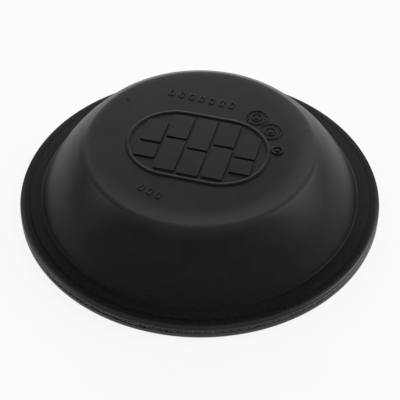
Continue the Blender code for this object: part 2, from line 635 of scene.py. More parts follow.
@dataclass(frozen=True)
class FlangeDust:
    """Painted shade: a deeper black on the wall's foot, the flange and the lip, with real fine dust on it.
    """

    # deep_colour is painted shade, darker than the moulded rubber's black.
    deep_colour: Colour = (0.0062, 0.0063, 0.0065)
    dust_colour: Colour = (0.0150, 0.0152, 0.0156)
    dust_size: float = 1.0 * MM
    dust_from: float = 0.30
    dust_to: float = 0.78
    # The painted shade fades in over the lower wall, from fade_from to fade_to.
    fade_from: float = 66.5 * MM
    fade_to: float = 74.0 * MM

    def over(self, board: Surface, under: bpy.types.NodeSocket) -> bpy.types.NodeSocket:
        """Let the darker rubber of painted shade, with its dust, take over from a colour towards the rim.

        Args:
            board: The material's tree.
            under: The colour under it.

        Returns:
            The colour with the painted shade and the dust towards the rim.
        """
        dust = board.lumps(self.dust_size, Pattern.DUST).ramp(self.dust_from, self.dust_to)
        shaded_dusty = board.mix(dust, self.deep_colour, self.dust_colour)
        return board.mix(board.reach.ramp(self.fade_from, self.fade_to), under, shaded_dusty)


@dataclass(frozen=True)
class Gloss:
    """A thin gloss on the wall, and a full one on the lip's front that stops at its groove."""

    roughness: float = 0.25
    wall_weight: float = 0.22
    wall_from: float = 48.5 * MM
    wall_to: float = 52.5 * MM
    foot_loss: float = 0.50
    foot_from: float = 60.5 * MM
    foot_to: float = 70.5 * MM
    lip_weight: float = 1.0
    lip_from: float = 81.6 * MM
    lip_to: float = 82.8 * MM
    front_from: float = 15.0 * MM
    front_to: float = -25.0 * MM
    groove_height: float = GROOVE_HEIGHT
    groove_half: float = 0.55 * MM
    groove_edge: float = 0.99 * MM
    groove_loss: float = 0.40
    waver_size: float = 1.0 * MM
    waver: float = 0.6 * MM
    torn_waver: float = 3.0 * MM
    torn_azimuth: float = radians(238.0)
    torn_from: float = 0.80
    torn_to: float = 0.95

    def weight(self, board: Surface, on_flange: Signal) -> Signal:
        """Work out the coat's weight.

        Args:
            board: The material's tree.
            on_flange: 1 on the flange and the lip, 0 on the wall and the plate.

        Returns:
            The weight from 0 to 1.
        """
        wall = board.reach.ramp(self.wall_from, self.wall_to) * (1.0 - on_flange)
        wall = wall * (1.0 - board.reach.ramp(self.foot_from, self.foot_to) * self.foot_loss)
        lip = board.reach.ramp(self.lip_from, self.lip_to) * board.y.ramp(self.front_from, self.front_to)
        return wall * self.wall_weight + lip * (1.0 - self._groove(board)) * self.lip_weight

    def _groove(self, board: Surface) -> Signal:
        """Work out how much of the gloss the parting groove takes, most where the fin is torn.

        Args:
            board: The material's tree.

        Returns:
            The share from 0 to 1.
        """
        torn = board.facing(self.torn_azimuth).ramp(self.torn_from, self.torn_to)
        swing = board.lumps(self.waver_size, Pattern.WAVER) - 0.5
        waver = swing * (torn * self.torn_waver + self.waver)
        off_line = (board.z - self.groove_height + waver).maths("ABSOLUTE")
        inside = 1.0 - off_line.ramp(self.groove_half, self.groove_edge)
        return inside * (torn * (1.0 - self.groove_loss) + self.groove_loss)


@dataclass(frozen=True)
class MouldGrain:
    """The mould's fine grain, its soft unevenness, its turning marks and the rougher flange."""

    grain_size: float = 0.32 * MM
    grain_depth: float = 0.006 * MM
    peel_size: float = 2.4 * MM
    peel_depth: float = 0.016 * MM
    ring_pitch: float = 0.55 * MM
    ring_depth: float = 0.0022 * MM
    rough_size: float = 0.9 * MM
    rough_depth: float = 0.035 * MM

    def height(self, board: Surface, on_flange: Signal) -> Signal:
        """Work out the height of the grain, in metres.

        Args:
            board: The material's tree.
            on_flange: 1 on the flange and the lip, 0 on the wall and the plate.

        Returns:
            The height, for the Bump node.
        """
        grain = board.lumps(self.grain_size, Pattern.GRAIN) * self.grain_depth
        peel = board.lumps(self.peel_size, Pattern.PEEL) * self.peel_depth
        section = board.join(board.reach, 0.0, board.z)
        rings = board.lumps(self.ring_pitch, Pattern.RINGS, section)
        rough = board.lumps(self.rough_size, Pattern.ROUGH) * on_flange * self.rough_depth
        return grain + peel + rings * self.ring_depth + rough


class Skin(Enum):
    """The three surfaces that the mould and the trimming leave on the rubber."""

    MOULDED = "black_rubber"
    RELIEF = "black_rubber_relief"
    TRIMMED = "black_rubber_trimmed"


@dataclass(frozen=True)
class RubberFinish:
    """Satin black rubber, built up from its layers. Lengths are in metres, colours are linear."""

    skin: Skin = Skin.MOULDED
    bloom: Bloom = Bloom()
    # A painted highlight on the plate's crest.
    crest: WornCrest = WornCrest()
    # Painted shade on the wall's foot and the flange, with real dust on them.
    dust: FlangeDust = FlangeDust()
    gloss: Gloss = Gloss()
    grain: MouldGrain = MouldGrain()
    specular_level: float = 0.08
    roughness: float = 0.46
    streak_roughness: float = 0.10
    flange_roughness: float = 0.22
    flange_from: float = 73.2 * MM
    flange_to: float = 74.8 * MM

    def material(self) -> bpy.types.Material:
        """Build the material.

        Returns:
            The material, with all of its patterns on Object coordinates.
        """
        made = bpy.data.materials.new(self.skin.value)
        board = Surface(cleared_tree(made))
        streaks = self.bloom.streaks(board)
        on_flange = board.reach.ramp(self.flange_from, self.flange_to)
        # The crest ring over the bloom is a painted highlight.
        crest_highlighted = self.crest.over(board, self.bloom.colour(board, streaks), streaks)
        roughness = self.roughness + (streaks - 0.5) * self.streak_roughness
        relief = {"Distance": 1.0, "Height": self.grain.height(board, on_flange)}
        shader = board.out(
            "ShaderNodeBsdfPrincipled",
            inputs={
                # The flange layer paints shade on the wall's foot and the flange, with real dust.
                "Base Color": self.dust.over(board, crest_highlighted),
                "Roughness": roughness + on_flange * self.flange_roughness,
                "Specular IOR Level": self.specular_level,
                "Coat Weight": self.gloss.weight(board, on_flange),
                "Coat Roughness": self.gloss.roughness,
                "Normal": board.out("ShaderNodeBump", inputs=relief),
            },
        )
        board.node("ShaderNodeOutputMaterial", inputs={0: shader})
        return made


class Outline:
    """Points of a section, drawn as straight lines and arcs. Tilts run from +Z to +X."""

    TURN_PER_STEP = radians(4.0)
    LEAST_STEP = 0.001 * MM
    ROUND_SHARE = 0.45

    def __init__(self) -> None:
        """Start with no points."""
        self.points: list[Point] = []

    def to(self, reach: float, height: float, steps: int = 1) -> "Outline":
        """Draw a straight line to a point.

        Args:
            reach: The point's distance from the axis.
            height: Its height.
            steps: How many equal steps the line has.

        Returns:
            The outline itself, so that calls can be chained.
        """
        if not self.points:
            self.points.append((reach, height))
            return self
        start = self.points[-1]
        for step in range(1, steps + 1):
            share = step / steps
            self.points.append(
                (start[0] + (reach - start[0]) * share, start[1] + (height - start[1]) * share)
            )
        return self

    def arc(self, centre: Point, radius: float, start: float, end: float) -> "Outline":
        """Draw an arc.

        Args:
            centre: The arc's centre.
            radius: Its radius.
            start: The tilt of the normal at its first point.
            end: The tilt of the normal at its last point.

        Returns:
            The outline itself, so that calls can be chained.
        """
        steps = max(2, ceil(abs(end - start) / self.TURN_PER_STEP))
        for step in range(steps + 1):
            tilt = start + (end - start) * step / steps
            point = (centre[0] + radius * sin(tilt), centre[1] + radius * cos(tilt))
            if not self.points or dist(point, self.points[-1]) > self.LEAST_STEP:
                self.points.append(point)
        return self

    def corner(self, corner: Point, after: Point, radius: float) -> "Outline":
        """Round the corner between the last point and the next one.

        Args:
            corner: Where the two straight lines would meet.
            after: The far end of the second line.
            radius: The round's radius, at most what the shorter line allows.

        Returns:
            The outline itself, so that calls can be chained.
        """
        before = self.points[-1]
        back = Vector((before[0] - corner[0], before[1] - corner[1]))
        onward = Vector((after[0] - corner[0], after[1] - corner[1]))
        half_angle = back.angle(onward) / 2
        cut_back = min(radius / tan(half_angle), self.ROUND_SHARE * min(back.length, onward.length))
        radius = cut_back * tan(half_angle)
        back.normalize()
        onward.normalize()
        middle = Vector(corner) + (back + onward).normalized() * (radius / sin(half_angle))
        first = Vector(corner) + back * cut_back - middle
        last = Vector(corner) + onward * cut_back - middle
        start = atan2(first.x, first.y)
        turn = (atan2(last.x, last.y) - start + pi) % (2 * pi) - pi
        return self.arc((middle.x, middle.y), radius, start, start + turn)


@dataclass(frozen=True)
class MouldedSection:
    """Sizes of the cup's section, and the outline that follows from them."""

    rim_radius: float
    overall_height: float
    rim_thickness: float
    sheet_thickness: float
    lip_width: float = 4.3 * MM
    lip_top_round: float = 1.4 * MM
    lip_bottom_round: float = 1.8 * MM
    heel_round: float = 0.8 * MM
    groove_height: float = GROOVE_HEIGHT
    groove_radius: float = 0.75 * MM
    groove_depth: float = 0.4 * MM
    groove_edge_round: float = 0.14 * MM
    crown_rise_radius: float = 4.7 * MM
    crown_fall_radius: float = 8.0 * MM
    crevice_depth: float = 0.12 * MM
    flange_width: float = 6.4 * MM
    flange_rise: float = 0.3 * MM
    step_height: float = 0.9 * MM
    step_run: float = 0.70 * MM
    step_edge_round: float = 0.30 * MM
    notch_width: float = 0.9 * MM
    notch_depth: float = 0.08 * MM
    plate_radius: float = 51.2 * MM
    shoulder_radius: float = 5.0 * MM
    bulge_radius: float = 92.0 * MM
    foot_round: float = 0.7 * MM
    plate_rings: int = 8
    heel_rings: int = 5
    band_rings: int = 4
    notch_steps: int = 8

    @classmethod
    def from_frame(cls) -> "MouldedSection":
        """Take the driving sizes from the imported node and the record's mounts.

        Returns:
            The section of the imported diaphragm.
        """
        low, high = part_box(NODE)
        seats = {mount["name"]: mount["pos_m"][2] for mount in frame["record"]["mounts"]}
        return cls(
            rim_radius=(high[0] - low[0]) / 2,
            overall_height=high[2],
            rim_thickness=seats["rim_top"],
            sheet_thickness=high[2] - seats["push_plate_seat"],
        )

    @property
    def foot(self) -> Point:
        """Where the wall would meet the flange."""
        reach = self.rim_radius - self.lip_width - self.flange_width
        return (reach, self.rim_thickness + self.step_height + self.flange_rise)

    @property
    def shoulder_centre(self) -> Point:
        """Centre of the shoulder's round, and of the corner inside it."""
        return (self.plate_radius, self.overall_height - self.shoulder_radius)

    @property
    def bulge_centre(self) -> Point:
        """Work out the centre of the wall's arc from its radius and its two ends.

        Returns:
            The centre for which it leaves the shoulder smoothly and ends at the foot.
        """
        run = Vector(self.foot) - Vector(self.shoulder_centre)
        along = run.normalized()
        apart = self.bulge_radius - self.shoulder_radius
        ahead = (run.length**2 + apart**2 - self.bulge_radius**2) / (2 * run.length)
        aside = sqrt(apart**2 - ahead**2)
        centre = Vector(self.shoulder_centre) + along * ahead + Vector((along.y, -along.x)) * aside
        return (centre.x, centre.y)

    @property
    def shoulder_tilt(self) -> float:
        """Tilt of the surface where the shoulder's round goes over into the wall."""
        return self._tilt_at(self.shoulder_centre)

    @property
    def foot_tilt(self) -> float:
        """Tilt of the wall at its foot."""
        return self._tilt_at(self.foot)

    def _tilt_at(self, point: Point) -> float:
        """Tilt of the wall's normal through a point."""
        return atan2(point[0] - self.bulge_centre[0], point[1] - self.bulge_centre[1])

    def outside(self) -> Outline:
        """Draw the outer side, from the axis down to the rim's underside.

        Returns:
            The open outline.
        """
        line = Outline().to(0.0, self.overall_height)
        line.to(self.plate_radius, self.overall_height, self.plate_rings)
        line.arc(self.shoulder_centre, self.shoulder_radius, 0.0, self.shoulder_tilt)
        line.arc(self.bulge_centre, self.bulge_radius, self.shoulder_tilt, self.foot_tilt)
        line.points.pop()
        crevice = (self.rim_radius - self.lip_width, self.rim_thickness - self.crevice_depth)
        step_edge = (crevice[0] - self.step_run, self.rim_thickness + self.step_height)
        self._draw_foot(line, step_edge)
        line.corner(step_edge, crevice, self.step_edge_round)
        self._draw_crown(line, crevice)
        self._draw_groove(line)
        bottom = (self.rim_radius - self.lip_bottom_round, self.lip_bottom_round)
        return line.arc(bottom, self.lip_bottom_round, pi / 2, pi)

    def _draw_foot(self, line: Outline, step_edge: Point) -> None:
        """Draw the wall's foot, the fine notch and the nearly flat band.

        Args:
            line: The outline so far, which ends where the bulge ends.
            step_edge: Where the band ends above the lip.
        """
        line.corner(self.foot, step_edge, self.foot_round)
        along = Vector((step_edge[0] - self.foot[0], step_edge[1] - self.foot[1])).normalized()
        start = Vector(line.points[-1])
        for step in range(1, self.notch_steps + 1):
            share = step / self.notch_steps
            depth = self.notch_depth * (1 - cos(2 * pi * share)) / 2
            point = start + along * (self.notch_width * share) + Vector((along.y, -along.x)) * depth
            line.to(point.x, point.y)
        end = Vector(step_edge) - along * self.step_edge_round * 2
        line.to(end.x, end.y, self.band_rings)

    def _draw_crown(self, line: Outline, crevice: Point) -> None:
        """Draw the lip's crowned top, from the crevice over its crest to its outer side.

        Args:
            line: The outline so far, which ends in the crevice.
            crevice: The crevice's bottom.
        """
        rise = acos(1.0 - self.crevice_depth / self.crown_rise_radius)
        crest = crevice[0] + self.crown_rise_radius * sin(rise)
        line.arc((crest, self.rim_thickness - self.crown_rise_radius), self.crown_rise_radius, -rise, 0.0)
        apart = self.crown_fall_radius - self.lip_top_round
        fall = asin((self.rim_radius - self.lip_top_round - crest) / apart)
        centre = (crest, self.rim_thickness - self.crown_fall_radius)
        line.arc(centre, self.crown_fall_radius, 0.0, fall)
        corner = (self.rim_radius - self.lip_top_round, centre[1] + apart * cos(fall))
        line.arc(corner, self.lip_top_round, fall, pi / 2)

    def _draw_groove(self, line: Outline) -> None:
        """Draw the parting groove, with its two edges a little rounded.

        Args:
            line: The outline so far, which ends on the lip's outer side.
        """
        stand_off = self.groove_radius - self.groove_depth
        half_opening = acos(stand_off / self.groove_radius)
        half_height = self.groove_radius * sin(half_opening)
        centre = (self.rim_radius + stand_off, self.groove_height)
        ease = self.groove_edge_round / self.groove_radius
        line.to(self.rim_radius, self.groove_height + half_height + self.groove_edge_round)
        line.arc(centre, self.groove_radius, -pi / 2 + half_opening - ease, -pi / 2 - half_opening + ease)
        line.to(self.rim_radius, self.groove_height - half_height - self.groove_edge_round)

    def inside(self) -> Outline:
        """Draw the inner side, from the rim's underside up to the axis.

        Returns:
            The open outline.
        """
        inner_radius = self.bulge_radius - self.sheet_thickness
        tilt = self.foot_tilt
        top = (
            self.bulge_centre[0] + inner_radius * sin(tilt),
            self.bulge_centre[1] + inner_radius * cos(tilt),
        )
        heel = (top[0] + top[1] / tan(tilt), 0.0)
        line = Outline().to(self.rim_radius - self.lip_bottom_round, 0.0).corner(heel, top, self.heel_round)
        line.points.pop(0)
        line.to(*top, self.heel_rings)
        line.arc(self.bulge_centre, inner_radius, tilt, self.shoulder_tilt)
        line.arc(self.shoulder_centre, self.shoulder_radius - self.sheet_thickness, self.shoulder_tilt, 0.0)
        return line.to(0.0, self.overall_height - self.sheet_thickness, self.plate_rings)

    def height_at(self, reach: float) -> tuple[float, float]:
        """Find the outer surface at a distance from the axis.

        Args:
            reach: Distance from the axis.

        Returns:
            Its height, and the tilt of its normal from +Z.
        """
        points = self.outside().points
        for near, far in zip(points, points[1:]):
            if near[0] <= reach <= far[0] and far[0] > near[0]:
                share = (reach - near[0]) / (far[0] - near[0])
                tilt = atan2(near[1] - far[1], far[0] - near[0])
                return near[1] + (far[1] - near[1]) * share, tilt
        raise ValueError(f"no surface at {reach} m from the axis")


class Moulding:
    """What every sub-assembly shares: it makes pieces that ride with the part."""

    WELD_DISTANCE = 0.001 * MM

    def place(self, name: str, mesh: bpy.types.Mesh, finish: bpy.types.Material) -> bpy.types.Object:
        """Turn a finished mesh into a piece of the part.

        Args:
            name: The piece's name.
            mesh: Its mesh, where it belongs in the part.
            finish: Its material.

        Returns:
            The piece, which rides with the part's one body.
        """
        shape = bmesh.new()
        shape.from_mesh(mesh)
        bmesh.ops.remove_doubles(shape, verts=shape.verts, dist=self.WELD_DISTANCE)
        bmesh.ops.recalc_face_normals(shape, faces=shape.faces)
        shape.to_mesh(mesh)
        shape.free()
        mesh.name = name
        mesh.materials.clear()
        mesh.materials.append(finish)
        mesh.shade_smooth()
        piece = added(name, mesh)
        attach(piece, BODY)
        mesh.calc_loop_triangles()
        LOG.info("%s: %d triangles", name, len(mesh.loop_triangles))
        return piece


@dataclass
class RubberCup(Moulding):
    """The moulding itself: plate, shoulder, wall, flange and rim in one turned piece."""

    section: MouldedSection
    steps_around: int = 480
    wave_height: float = 0.10 * MM
    wave_size: float = 30.0 * MM
    seed: int = 11
    sharp_from: float = radians(32.0)

    def build(self, finish: bpy.types.Material) -> bpy.types.Object:
        """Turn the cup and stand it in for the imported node.

        Args:
            finish: Its material.

        Returns:
            The finished piece.
        """
        points = self.section.outside().points + self.section.inside().points
        mesh = TurnedTree().grow(
            section_mesh("cup_section", points),
            finish,
            steps_around=self.steps_around,
            section_points=len(points),
            wave_height=self.wave_height,
            wave_size=self.wave_size,
            seed=self.seed,
        )
        cup = self.place("rubber_cup", mesh, finish)
        cup.data.set_sharp_from_angle(angle=self.sharp_from)
        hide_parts(NODE)
        return cup


@dataclass
class PartingFlash(Moulding):
    """The thin fin that the mould's parting line leaves in the groove, torn where it was trimmed."""

    section: MouldedSection
    root_depth: float = 0.75 * MM
    tip_depth: float = 0.04 * MM
    root_thickness: float = 0.46 * MM
    tip_thickness: float = 0.26 * MM
    tear_depth: float = 0.55 * MM
    tear_height: float = 0.50 * MM
    tear_size: float = 1.6 * MM
    calm_share: float = 0.16
    sector_middle: float = radians(242.0)
    sector_half: float = radians(20.0)
    sector_fade: float = radians(14.0)
    face_steps: int = 3
    steps_around: int = 1800
    seed: int = 5

    def build(self, finish: bpy.types.Material) -> bpy.types.Object:
        """Turn the fin.

        Args:
            finish: Its material.

        Returns:
            The finished piece.
        """
        root = self.section.rim_radius - self.root_depth
        tip = self.section.rim_radius - self.tip_depth
        middle = self.section.groove_height
        line = Outline().to(root, middle + self.root_thickness / 2)
        line.to(tip, middle + self.tip_thickness / 2, self.face_steps)
        line.to(tip, middle - self.tip_thickness / 2)
        line.to(root, middle - self.root_thickness / 2, self.face_steps)
        line.to(root, middle + self.root_thickness / 2)
        mesh = RaggedTree().grow(
            section_mesh("fin_section", line.points),
            finish,
            steps_around=self.steps_around,
            section_points=len(line.points),
            root_radius=root,
            tip_radius=tip,
            tear_depth=self.tear_depth,
            tear_height=self.tear_height,
            tear_size=self.tear_size,
            calm_share=self.calm_share,
            sector_middle=self.sector_middle,
            sector_half=self.sector_half,
            sector_fade=self.sector_fade,
            seed=self.seed,
        )
        return self.place("parting_flash", mesh, finish)


@dataclass(frozen=True)
class RaisedShape:
    """A low flat-topped shape: a pip, a bar or a pad, with every edge rounded."""

    TOP_INSET: ClassVar[float] = 1.5
    skeleton: tuple[Point, ...]
    corner_radius: float
    height: float
    edge_round: float = 0.16 * MM
    sink: float = 0.15 * MM
    corner_steps: int = 5
    edge_steps: int = 3

    def ring(self, radius: float) -> list[Point]:
        """Walk round the skeleton's corners at a distance from them.

        Args:
            radius: The distance.

        Returns:
            The outline, anticlockwise.
        """
        corners = self.skeleton
        count = len(corners)
        points: list[Point] = []
        for index, corner in enumerate(corners):
            start, turn = 0.0, 2 * pi
            if count > 1:
                before, after = corners[index - 1], corners[(index + 1) % count]
                start = atan2(before[0] - corner[0], corner[1] - before[1])
                end = atan2(corner[0] - after[0], after[1] - corner[1])
                turn = (end - start) % (2 * pi)
            steps = self.corner_steps * (1 if count > 1 else 4)
            closing = 1 if count > 1 else 0
            for step in range(steps + closing):
                angle = start + turn * step / steps
                points.append((corner[0] + radius * cos(angle), corner[1] + radius * sin(angle)))
        return points

    def mesh(self, name: str) -> bpy.types.Mesh:
        """Build the shape with its base a little under the surface.

        Args:
            name: The mesh's name.

        Returns:
            The closed mesh, at the origin.
        """
        levels = [(-self.sink, self.corner_radius), (self.height - self.edge_round, self.corner_radius)]
        for step in range(1, self.edge_steps + 1):
            tilt = pi / 2 * step / self.edge_steps
            rise = self.height - self.edge_round * (1 - sin(tilt))
            levels.append((rise, self.corner_radius - self.edge_round * (1 - cos(tilt))))
        levels.append((self.height, self.corner_radius - self.edge_round * self.TOP_INSET))
        shape = bmesh.new()
        rings = [
            [shape.verts.new((x, y, height)) for x, y in self.ring(radius)] for height, radius in levels
        ]
        for lower, upper in zip(rings, rings[1:]):
            for index, corner in enumerate(lower):
                shape.faces.new((corner, lower[index - 1], upper[index - 1], upper[index]))
        shape.faces.new(rings[0])
        shape.faces.new(rings[-1])
        return kept(name, shape)


@dataclass(frozen=True)
class RaisedLine:
    """A low round ridge along a closed line, sized by its outer edge."""

    FULL_ROUND: ClassVar[float] = 0.999
    length: float
    width: float
    corner_radius: float
    line_width: float
    line_height: float

    @classmethod
    def circle(cls, radius: float, line_width: float, line_height: float) -> "RaisedLine":
        """Describe a ring by its outer radius."""
        return cls(2 * radius, 2 * radius, radius, line_width, line_height)

    def mesh(self, name: str, finish: bpy.types.Material) -> bpy.types.Mesh:
        """Build the ridge with its lower half under the surface.

        Args:
            name: The name of the mesh that it grows from.
            finish: Its material.

        Returns:
            The closed mesh, at the origin.
        """
        length, width = self.length - self.line_width, self.width - self.line_width
        return RidgeTree().grow(
            bpy.data.meshes.new(name),
            finish,
            length=length,
            width=width,
            corner_radius=min(self.corner_radius, min(length, width) / 2 * self.FULL_ROUND),
            ridge_width=self.line_width,
            ridge_height=self.line_height,
        )


@dataclass(frozen=True)
class Spot:
    """A place on the plate: its middle, and how far what stands there is turned."""

    x: float
    y: float
    turn: float = 0.0

    def matrix(self, height: float) -> Matrix:
        """Give the move from the origin to this place at a height."""
        return Matrix.Translation((self.x, self.y, height)) @ Matrix.Rotation(self.turn, 4, "Z")


@dataclass
class PlateMark(Moulding):
    """What every mark on the plate shares: it stands at a spot of the plate."""

    plate_height: float

    def build(self, finish: bpy.types.Material) -> None:
        """Make the mark. Each kind of mark has its own way."""
        raise NotImplementedError

    def stand(self, name: str, mesh: bpy.types.Mesh, spot: Spot, finish: bpy.types.Material) -> None:
        """Move a mesh from the origin to its spot, and make it a piece."""
        mesh.transform(spot.matrix(self.plate_height))
        self.place(name, mesh, finish)


@dataclass
class PlatePanel(PlateMark):
    """A raised line with round ends on the plate, with columns of blank pads inside it."""

    spot: Spot = Spot(-1.0 * MM, -2.4 * MM, radians(-15.0))
    length: float = 66.5 * MM
    width: float = 45.0 * MM
    line_width: float = 2.10 * MM
    line_height: float = 0.62 * MM
    columns: int = 5
    column_step: float = 11.0 * MM
    column_gap: float = 1.4 * MM
    row_gap: float = 1.4 * MM
    stagger: float = 5.2 * MM
    margin: float = 3.4 * MM
    pad_corner: float = 0.7 * MM
    pad_height: float = 0.62 * MM

    def build(self, finish: bpy.types.Material) -> None:
        """Make the line and the pads.

        Args:
            finish: Their material.
        """
        line = RaisedLine(self.length, self.width, self.width / 2, self.line_width, self.line_height)
        self.stand("panel_line", line.mesh("panel_line", finish), self.spot, finish)
        self.stand("panel_pads", joined("panel_pads", self._pads()), self.spot, finish)

    def _pads(self) -> list[bpy.types.Mesh]:
        """Make two pads in each column, with the gap between them high and low by turns.

        Returns:
            All of the pads, round the origin.
        """
        pads = []
        for column in range(self.columns):
            middle = (column - (self.columns - 1) / 2) * self.column_step
            half = self._column_reach(abs(middle) + (self.column_step - self.column_gap) / 2)
            split = self.stagger / 2 * (1 if column % 2 else -1)
            for low, high in ((-half, split - self.row_gap / 2), (split + self.row_gap / 2, half)):
                corners = self._pad_corners(middle, low, high)
                pads.append(RaisedShape(corners, self.pad_corner, self.pad_height).mesh("pad"))
        return pads

    def _column_reach(self, across: float) -> float:
        """Find how far a column may reach up and down inside the line.

        Args:
            across: Distance of the column's outer side from the panel's middle.

        Returns:
            Half of the column's height.
        """
        end_radius = self.width / 2
        beyond = max(0.0, across - (self.length / 2 - end_radius))
        return (end_radius**2 - beyond**2) ** 0.5 - self.margin

    def _pad_corners(self, middle: float, low: float, high: float) -> tuple[Point, ...]:
        """Corners of a pad's skeleton, anticlockwise.

        Args:
            middle: Middle of the pad's column.
            low: The pad's lower edge.
            high: Its upper edge.

        Returns:
            Four corners, one corner radius inside the pad's edges.
        """
        half = (self.column_step - self.column_gap) / 2 - self.pad_corner
        low, high = low + self.pad_corner, high - self.pad_corner
        return ((middle - half, low), (middle + half, low), (middle + half, high), (middle - half, high))


@dataclass
class PinMark(PlateMark):
    """The print of a mould's pin: a raised ring round a pip."""

    spot: Spot
    radius: float = 2.9 * MM
    line_width: float = 1.00 * MM
    line_height: float = 0.60 * MM
    pip_radius: float = 0.85 * MM

    def build(self, finish: bpy.types.Material) -> None:
        """Make the ring and the pip as one piece.

        Args:
            finish: Their material.
        """
        ring = RaisedLine.circle(self.radius, self.line_width, self.line_height).mesh("pin_ring", finish)
        pip = RaisedShape(((0.0, 0.0),), self.pip_radius, self.line_height).mesh("pin_pip")
        self.stand("pin_mark", joined("pin_mark", (ring, pip)), self.spot, finish)


@dataclass
class DateDial(PlateMark):
    """A round mould insert: a ring, twelve marks round it and an arrow in the middle."""

    name: str
    spot: Spot
    radius: float
    numbered: bool
    line_width: float = 0.55 * MM
    line_height: float = 0.34 * MM
    hub_share: float = 0.50
    mark_share: float = 0.75
    figure_share: float = 0.26
    figure_height: float = 0.16 * MM
    tick_length: float = 0.75 * MM
    tick_width: float = 0.34 * MM
    tick_edge_round: float = 0.08 * MM
    arrow_share: float = 0.62
    arrow_half_width: float = 0.45
    arrow_tail: float = 0.5
    arrow_corner: float = 0.22 * MM
    arrow_edge_round: float = 0.1 * MM
    months: int = 12

    def build(self, finish: bpy.types.Material) -> None:
        """Make the dial as one piece.

        Args:
            finish: Its material.
        """
        rings = [
            RaisedLine.circle(radius, self.line_width, self.line_height).mesh("dial_ring", finish)
            for radius in (self.radius, self.radius * self.hub_share)
        ]
        marks = self._figures() if self.numbered else [self._ticks(finish)]
        self.stand(self.name, joined(self.name, [*rings, self._arrow(), *marks]), self.spot, finish)

    def _ticks(self, finish: bpy.types.Material) -> bpy.types.Mesh:
        """Make the short marks round the dial.

        Args:
            finish: Their material.

        Returns:
            All of the marks.
        """
        half = (self.tick_length - self.tick_width) / 2
        skeleton = ((-half, 0.0), (half, 0.0))
        tick = RaisedShape(skeleton, self.tick_width / 2, self.figure_height, self.tick_edge_round)
        reach = self.radius * self.mark_share
        return RoundTree().grow(tick.mesh("dial_tick"), finish, count=self.months, radius=reach)

    def _figures(self) -> list[bpy.types.Mesh]:
        """Make the plain numbers 1 to 12 round the dial, feet inwards.

        Returns:
            One mesh for each number.
        """
        made = []
        for month in range(1, self.months + 1):
            text = bpy.data.curves.new("dial_figure", "FONT")
            text.body = str(month)
            text.align_x, text.align_y = "CENTER", "CENTER"
            text.size = self.radius * self.figure_share
            text.extrude = self.figure_height
            text.resolution_u = 2
            figure = baked(added("dial_figure", text))
            turn = Matrix.Rotation(-2 * pi * month / self.months, 4, "Z")
            figure.transform(turn @ Matrix.Translation((0.0, self.radius * self.mark_share, 0.0)))
            made.append(figure)
        return made

    def _arrow(self) -> bpy.types.Mesh:
        """Make the arrow that points at a mark.

        Returns:
            The arrow, at the origin.
        """
        reach = self.radius * self.hub_share * self.arrow_share
        side, tail = reach * self.arrow_half_width, -reach * self.arrow_tail
        corners = ((0.0, reach), (-side, tail), (side, tail))
        shape = RaisedShape(corners, self.arrow_corner, self.line_height, self.arrow_edge_round)
        return shape.mesh("dial_arrow")


@dataclass
class MarkRow(PlateMark):
    """A straight row of like hollow marks between two places on the plate."""

    name: str
    start: Point
    end: Point
    count: int
    mark_length: float = 4.4 * MM
    mark_width: float = 2.9 * MM
    corner_radius: float = 0.75 * MM
    line_width: float = 0.85 * MM
    line_height: float = 0.30 * MM

    def build(self, finish: bpy.types.Material) -> None:
        """Make the row.

        Args:
            finish: Its material.
        """
        run = Vector(self.end) - Vector(self.start)
        middle = (Vector(self.start) + Vector(self.end)) / 2
        mark = RaisedLine(
            self.mark_width, self.mark_length, self.corner_radius, self.line_width, self.line_height
        ).mesh(self.name, finish)
        step = (run.length / (self.count - 1), 0.0, 0.0)
        row = RowTree().grow(mark, finish, count=self.count, step=step)
        self.stand(self.name, row, Spot(middle.x, middle.y, atan2(run.y, run.x)), finish)


@dataclass
class PlateMarks:
    """Everything that is raised on the plate, all of it blank or plain figures."""

    plate_height: float

    def marks(self) -> list[PlateMark]:
        """List the marks.

        Returns:
            The marks, in the order in which they are made.
        """
        height = self.plate_height
        return [
            PlatePanel(height),
            MarkRow(height, "size_marks", (-13.5 * MM, 35.9 * MM), (14.8 * MM, 26.7 * MM), 7),
            MarkRow(height, "cavity_marks", (-25.4 * MM, -28.6 * MM), (-18.0 * MM, -33.4 * MM), 3),
            DateDial(height, "month_dial", Spot(26.2 * MM, 18.3 * MM, radians(-15.0)), 5.15 * MM, True),
            DateDial(height, "year_dial", Spot(32.1 * MM, 8.6 * MM, radians(20.0)), 5.5 * MM, False),
            PinMark(height, Spot(34.8 * MM, -4.3 * MM)),
        ]

    def build(self, finish: bpy.types.Material) -> None:
        """Make all of the marks in one material."""
        for mark in self.marks():
            mark.build(finish)


@dataclass(frozen=True)
class Nib:
    """One small bead of rubber: its distance from the axis, its azimuth and its radius."""

    reach: float
    azimuth: float
    radius: float


